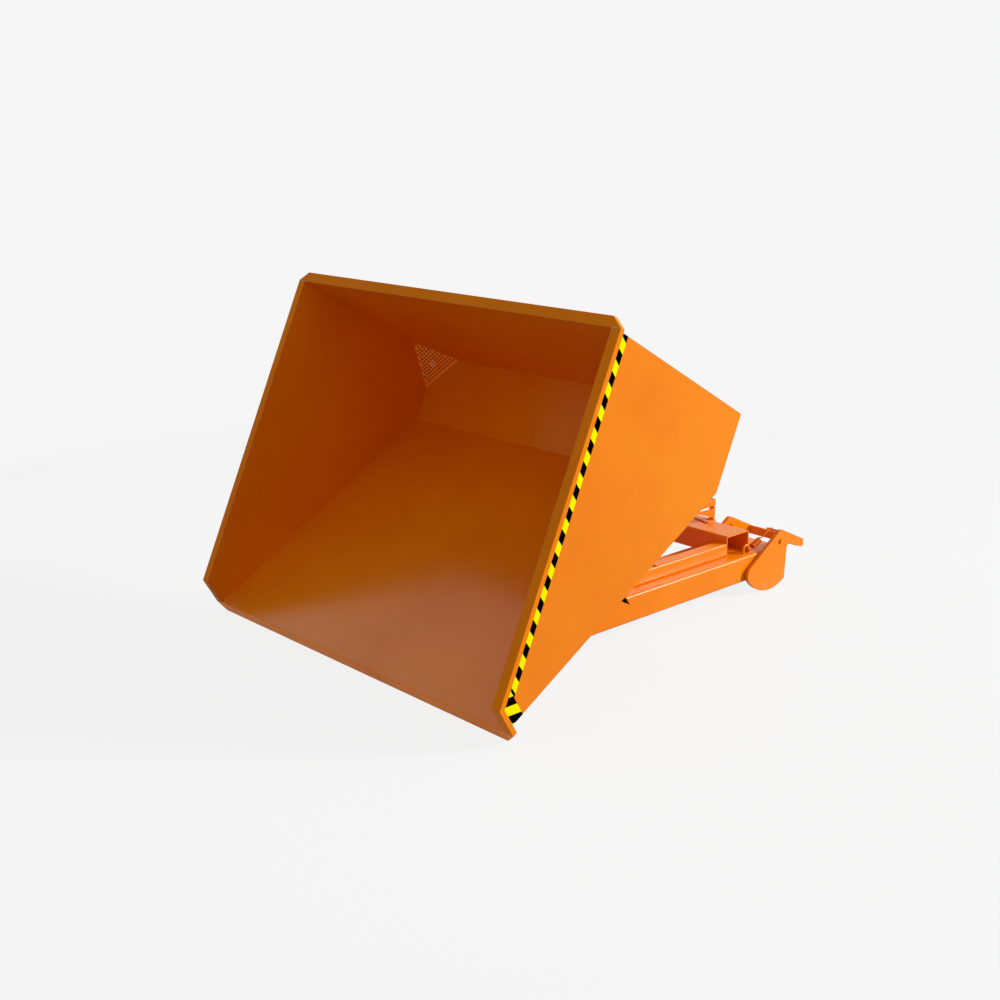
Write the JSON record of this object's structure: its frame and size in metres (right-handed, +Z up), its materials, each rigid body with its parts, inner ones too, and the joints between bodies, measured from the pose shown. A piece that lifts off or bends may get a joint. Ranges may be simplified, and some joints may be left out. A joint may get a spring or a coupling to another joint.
{
  "type": "swarf tipping container",
  "caption": "Sheet steel tipping skip hinged on a base with fork pockets, shown tipped, with corner sieve, drain valve, skip lock and sprung fork levers.",
  "frame": {"origin": "middle of the container's box on the floor, in the tipped pose", "axes": "+X across, +Y towards the fork truck, -Y the pouring side, +Z up"},
  "size_m": [1.2, 1.5052, 0.9231],
  "materials": {
    "orange_paint": "gloss",
    "spring_paint": "gloss",
    "zinc_steel": "satin",
    "hazard_tape": "satin",
    "rubber": "matte",
    "brass": "satin",
    "handle_sleeve": "gloss"
  },
  "bodies": {
    "base": {"fork_pocket_left": "orange_paint", "fork_pocket_right": "orange_paint", "front_cross_tube": "orange_paint", "front_foot_left": "orange_paint", "front_foot_right": "orange_paint", "hinge_bracket_left": "orange_paint", "hinge_bracket_right": "orange_paint", "hinge_pin_left": "zinc_steel", "hinge_pin_right": "zinc_steel", "hinge_pin_rings": "zinc_steel", "keeper_screws": "orange_paint", "lever_ears_left": "orange_paint", "lever_ears_right": "orange_paint", "lever_pins": "orange_paint", "lever_spring_left": "spring_paint", "lever_spring_right": "spring_paint", "lever_stops": "orange_paint", "lock_keeper": "orange_paint", "rail_left": "orange_paint", "rail_right": "orange_paint", "rear_cross_channel": "orange_paint", "spring_eye_left": "orange_paint", "spring_eye_right": "orange_paint", "tip_stop_left": "orange_paint", "tip_stop_pad_left": "rubber", "tip_stop_pad_right": "rubber", "tip_stop_right": "orange_paint"},
    "skip": {"back_rim": "orange_paint", "corner_sieve": "orange_paint", "drain_socket": "orange_paint", "drain_valve_body": "brass", "hazard_tape_left": "hazard_tape", "hazard_tape_right": "hazard_tape", "hinge_arm_left": "orange_paint", "hinge_arm_right": "orange_paint", "hinge_pad_left": "orange_paint", "hinge_pad_right": "orange_paint", "lip_rim": "orange_paint", "lock_ears": "orange_paint", "lock_pivot_pin": "zinc_steel", "side_rim_left": "orange_paint", "side_rim_right": "orange_paint", "side_wall_left": "orange_paint", "side_wall_right": "orange_paint", "sieve_bolt": "zinc_steel", "sieve_post": "orange_paint", "trough_sheet": "orange_paint"},
    "drain_valve": {"drain_valve_ball": "brass", "drain_valve_stem": "zinc_steel", "drain_valve_handle": "handle_sleeve", "drain_handle_nut": "zinc_steel"},
    "lock_lever": {"lock_lever": "orange_paint"},
    "fork_lever_left": {"lever_plate_inner_left": "orange_paint", "lever_plate_outer_left": "orange_paint", "lever_bar_left": "orange_paint", "lever_knee_pin_left": "orange_paint"},
    "fork_lever_right": {"lever_plate_inner_right": "orange_paint", "lever_plate_outer_right": "orange_paint", "lever_bar_right": "orange_paint", "lever_knee_pin_right": "orange_paint"}
  },
  "joints": [
    {"name": "skip_tip", "type": "hinge", "parent": "base", "child": "skip", "pos_m": [0, -0.14895, 0.205], "axis": [-1, 0, 0], "range_deg": [0, 66]},
    {"name": "drain_valve_turn", "type": "hinge", "parent": "skip", "child": "drain_valve", "pos_m": [-0.538, 0.08852, 0.71212], "axis": [0, -0.8785, 0.4778], "range_deg": [0, 90]},
    {"name": "lock_swing", "type": "hinge", "parent": "skip", "child": "lock_lever", "pos_m": [0.165, -0.01138, 0.74796], "axis": [1, 0, 0], "range_deg": [0, 27]},
    {"name": "fork_lever_right_swing", "type": "hinge", "parent": "base", "child": "fork_lever_right", "pos_m": [0, 0.63355, 0.141], "axis": [1, 0, 0], "range_deg": [0, 35], "stiffness_Nm_per_rad": 4, "springref_deg": 37.24, "deforming": ["lever_spring_right"]},
    {"name": "fork_lever_left_swing", "type": "hinge", "parent": "base", "child": "fork_lever_left", "pos_m": [0, 0.63355, 0.141], "axis": [1, 0, 0], "range_deg": [0, 35], "stiffness_Nm_per_rad": 4, "springref_deg": 37.24, "deforming": ["lever_spring_left"]}
  ]
}
